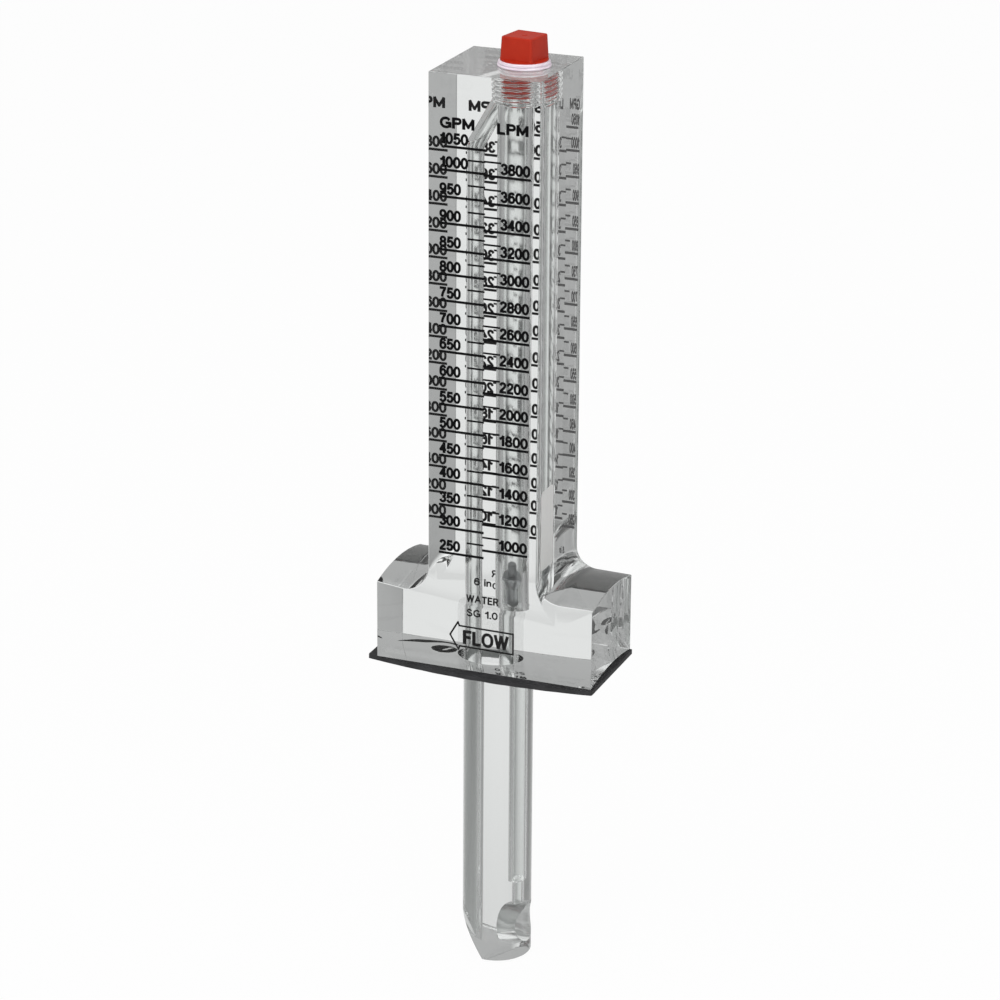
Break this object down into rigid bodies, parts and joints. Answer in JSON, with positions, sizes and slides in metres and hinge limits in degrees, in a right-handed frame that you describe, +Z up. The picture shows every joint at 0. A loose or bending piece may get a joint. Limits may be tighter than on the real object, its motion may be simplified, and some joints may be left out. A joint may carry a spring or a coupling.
{
  "type": "rotameter",
  "caption": "Clear block rotameter on a pipe saddle, with a loose float in a metering bore, a rubber gasket and an impact probe below.",
  "frame": {"origin": "where the probe's axis meets the gasket's underside, which is the pipe's surface", "axes": "+Z up the metering column, +X upstream along the pipe, the scale faces -Y"},
  "size_m": [0.067, 0.0355, 0.2678],
  "materials": {
    "clear_acrylic": "polished",
    "black_rubber": "matte",
    "red_plastic": "satin",
    "white_tape": "matte",
    "float_steel": "turned"
  },
  "bodies": {
    "meter": {"body": "clear_acrylic", "probe": "clear_acrylic", "gasket": "black_rubber"},
    "float": {"float": "float_steel"},
    "tape": {"thread_tape": "white_tape"},
    "plug": {"plug": "red_plastic"}
  },
  "joints": [
    {"name": "float_rise", "type": "slide", "parent": "meter", "child": "float", "axis": [0, 0, 1], "range_m": [0, 0.13188]},
    {"name": "plug_rise", "type": "slide", "parent": "meter", "child": "tape", "axis": [0, 0, 1], "range_m": [0, 0.00847]},
    {"name": "plug_turn", "type": "hinge", "parent": "tape", "child": "plug", "pos_m": [0.0062, 0, 0.17], "axis": [0, 0, 1], "range_deg": [0, 2160]}
  ],
  "couplings": [
    {"joint": "plug_turn", "follows": "plug_rise", "rad_per_m": 4452.7}
  ]
}
